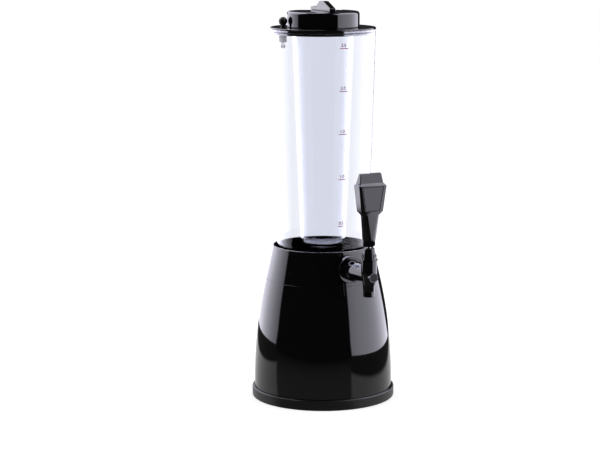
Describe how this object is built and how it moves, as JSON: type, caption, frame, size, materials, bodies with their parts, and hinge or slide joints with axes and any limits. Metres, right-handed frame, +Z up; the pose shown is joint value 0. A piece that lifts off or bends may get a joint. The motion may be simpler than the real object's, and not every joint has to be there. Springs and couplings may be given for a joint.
{
  "type": "drinks tower dispenser",
  "caption": "Drinks tower: a round conical pedestal and collar carry a tall clear tank with an ice tube inside, a lid with a screw cap, and a lever tap.",
  "frame": {"origin": "centre of the anti-slip pad's underside, on the tower's upright axis", "axes": "+Z up the tower's axis; the tap and its handle point towards -Y; +X completes the right-handed set"},
  "size_m": [0.18, 0.2261, 0.5],
  "materials": {
    "pedestal_gloss": "black polished ABS",
    "base_satin": "black satin ABS",
    "pad_rubber": "black matt rubber",
    "tank_clear": "clear polished plastic",
    "tap_gloss": "black polished plastic",
    "handle_satin": "black fine satin plastic",
    "seal_silicone": "translucent white silicone",
    "gasket_rubber": "black rubber",
    "steel": "plain steel",
    "white_plastic": "white translucent plastic",
    "acetal_white": "white acetal",
    "brass": "turned brass"
  },
  "bodies": {
    "pedestal": {"base_plate": "base_satin", "anti_slip_pad": "pad_rubber", "base_screws": "steel", "pedestal_shell": "pedestal_gloss"},
    "tower": {"collar_shell": "pedestal_gloss", "tank": "tank_clear", "outer_gasket": "gasket_rubber", "inner_gasket": "gasket_rubber", "lock_nut": "tap_gloss", "escutcheon": "tap_gloss", "jam_nut": "tap_gloss", "tap_body": "tap_gloss", "front_plug": "tap_gloss", "ball_seat": "acetal_white", "bonnet": "tap_gloss"},
    "lid_unit": {"lid": "pedestal_gloss", "lid_seal": "seal_silicone", "vent_bush": "white_plastic"},
    "vent": {"vent_pin": "tap_gloss", "vent_ring": "gasket_rubber"},
    "tube": {"ice_tube": "tank_clear"},
    "cap_gasket": {"cap_seal": "seal_silicone"},
    "cap": {"ice_cap": "pedestal_gloss"},
    "tap_lever": {"lever": "steel", "collar_nut": "tap_gloss", "handle_insert": "brass", "handle": "handle_satin"},
    "valve": {"plunger": "acetal_white", "seat_washer": "gasket_rubber", "washer_nut": "steel"}
  },
  "joints": [
    {"name": "tower_lift", "type": "slide", "parent": "pedestal", "child": "tower", "axis": [0, 0, 1], "range_m": [0, 0.06]},
    {"name": "lid_lift", "type": "slide", "parent": "tower", "child": "lid_unit", "axis": [0, 0, 1], "range_m": [0, 0.3]},
    {"name": "vent_pull", "type": "slide", "parent": "lid_unit", "child": "vent", "axis": [0, 0, 1], "range_m": [0, 0.004]},
    {"name": "tube_lift", "type": "slide", "parent": "lid_unit", "child": "tube", "axis": [0, 0, 1], "range_m": [0, 0.3]},
    {"name": "cap_seal_lift", "type": "slide", "parent": "tube", "child": "cap_gasket", "axis": [0, 0, 1], "range_m": [0, 0.06]},
    {"name": "cap_turn", "type": "hinge", "parent": "cap_gasket", "child": "cap", "pos_m": [0, 0, 0.4814], "axis": [0, 0, 1], "range_deg": [0, 90]},
    {"name": "lever_tilt", "type": "hinge", "parent": "tower", "child": "tap_lever", "pos_m": [0, -0.12396, 0.199], "axis": [1, 0, 0], "range_deg": [0, 16]},
    {"name": "valve_stroke", "type": "slide", "parent": "tower", "child": "valve", "axis": [0, 1, 0], "range_m": [0, 0.0065]}
  ],
  "couplings": [
    {"joint": "valve_stroke", "follows": "lever_tilt", "m_per_rad": 0.023}
  ]
}
